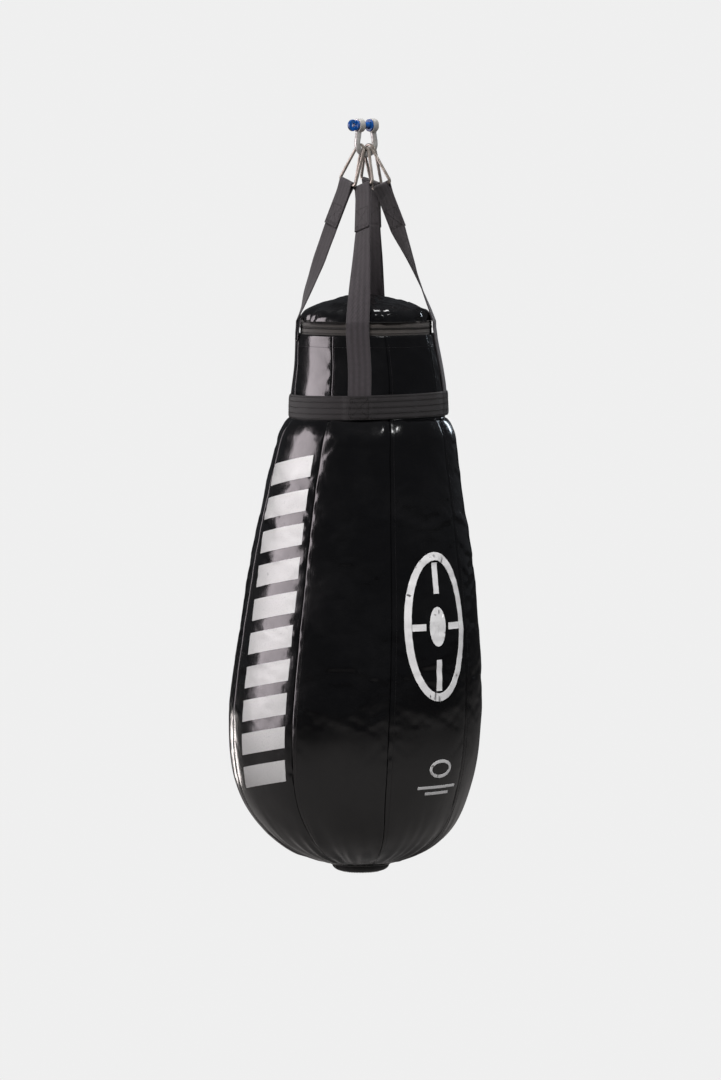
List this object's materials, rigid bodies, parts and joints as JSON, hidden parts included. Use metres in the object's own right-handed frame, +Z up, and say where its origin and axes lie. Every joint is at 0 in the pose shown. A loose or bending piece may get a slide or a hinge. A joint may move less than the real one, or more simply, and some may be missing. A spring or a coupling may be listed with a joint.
{
  "type": "hanging teardrop punching bag",
  "caption": "Teardrop punching bag of sewn vinyl gores with a zipped domed lid, hung by webbing straps and wire rings from a bow shackle.",
  "frame": {"origin": "middle of the shackle pin, on its axis, where the bag hangs", "axes": "+Z up; +X along the shackle pin from its tab head to its threaded end; -Y is the side called front"},
  "size_m": [0.4132, 0.4132, 1.2311],
  "materials": {
    "galvanised_steel": "hot-dip galvanised",
    "pin_finish": "blue enamel",
    "ring_steel": "nickel plated",
    "webbing": "woven polyester",
    "vinyl": "glossy vinyl",
    "foam": "closed-cell foam",
    "textile": "packed textile",
    "zip_tape": "woven tape",
    "zip_coil": "nylon",
    "zip_metal": "black enamel",
    "base_fabric": "matt coated fabric"
  },
  "bodies": {
    "pin": {"shackle_pin": "pin_finish", "pin_washer": "pin_finish"},
    "shackle": {"shackle_bow": "galvanised_steel"},
    "bag": {"ring_back_left": "ring_steel", "ring_front_left": "ring_steel", "ring_front_right": "ring_steel", "ring_back_right": "ring_steel", "strap_front_left": "webbing", "strap_front_right": "webbing", "strap_back_right": "webbing", "strap_back_left": "webbing", "neck_band": "webbing", "gore_front": "vinyl", "gore_front_right": "vinyl", "gore_right": "vinyl", "gore_back_right": "vinyl", "gore_back": "vinyl", "gore_back_left": "vinyl", "gore_left": "vinyl", "gore_front_left": "vinyl", "foam_liner": "foam", "textile_filling": "textile", "sand_core": "textile", "base_patch": "base_fabric", "base_disc": "base_fabric", "top_lid": "vinyl", "lid_pad": "foam", "zip_tape_upper": "zip_tape", "zip_tape_lower": "zip_tape", "zip_coil": "zip_coil", "zip_garage": "vinyl"},
    "zip_slider": {"zip_slider": "zip_metal"},
    "zip_pull": {"zip_pull": "zip_metal"}
  },
  "joints": [
    {"name": "shackle_swing", "type": "hinge", "parent": "pin", "child": "shackle", "pos_m": [0, 0, 0], "axis": [1, 0, 0], "range_deg": [-50, 50]},
    {"name": "bag_swing", "type": "hinge", "parent": "shackle", "child": "bag", "pos_m": [0, 0, -0.029], "axis": [0, 1, 0], "range_deg": [-25, 25]},
    {"name": "zip_slider_run", "type": "hinge", "parent": "bag", "child": "zip_slider", "pos_m": [0, 0, -0.328], "axis": [0, 0, 1], "range_deg": [-280, 0]},
    {"name": "zip_pull_flip", "type": "hinge", "parent": "zip_slider", "child": "zip_pull", "pos_m": [-0.02901, 0.10828, -0.328], "axis": [0, 0, 1], "range_deg": [0, 160]}
  ]
}
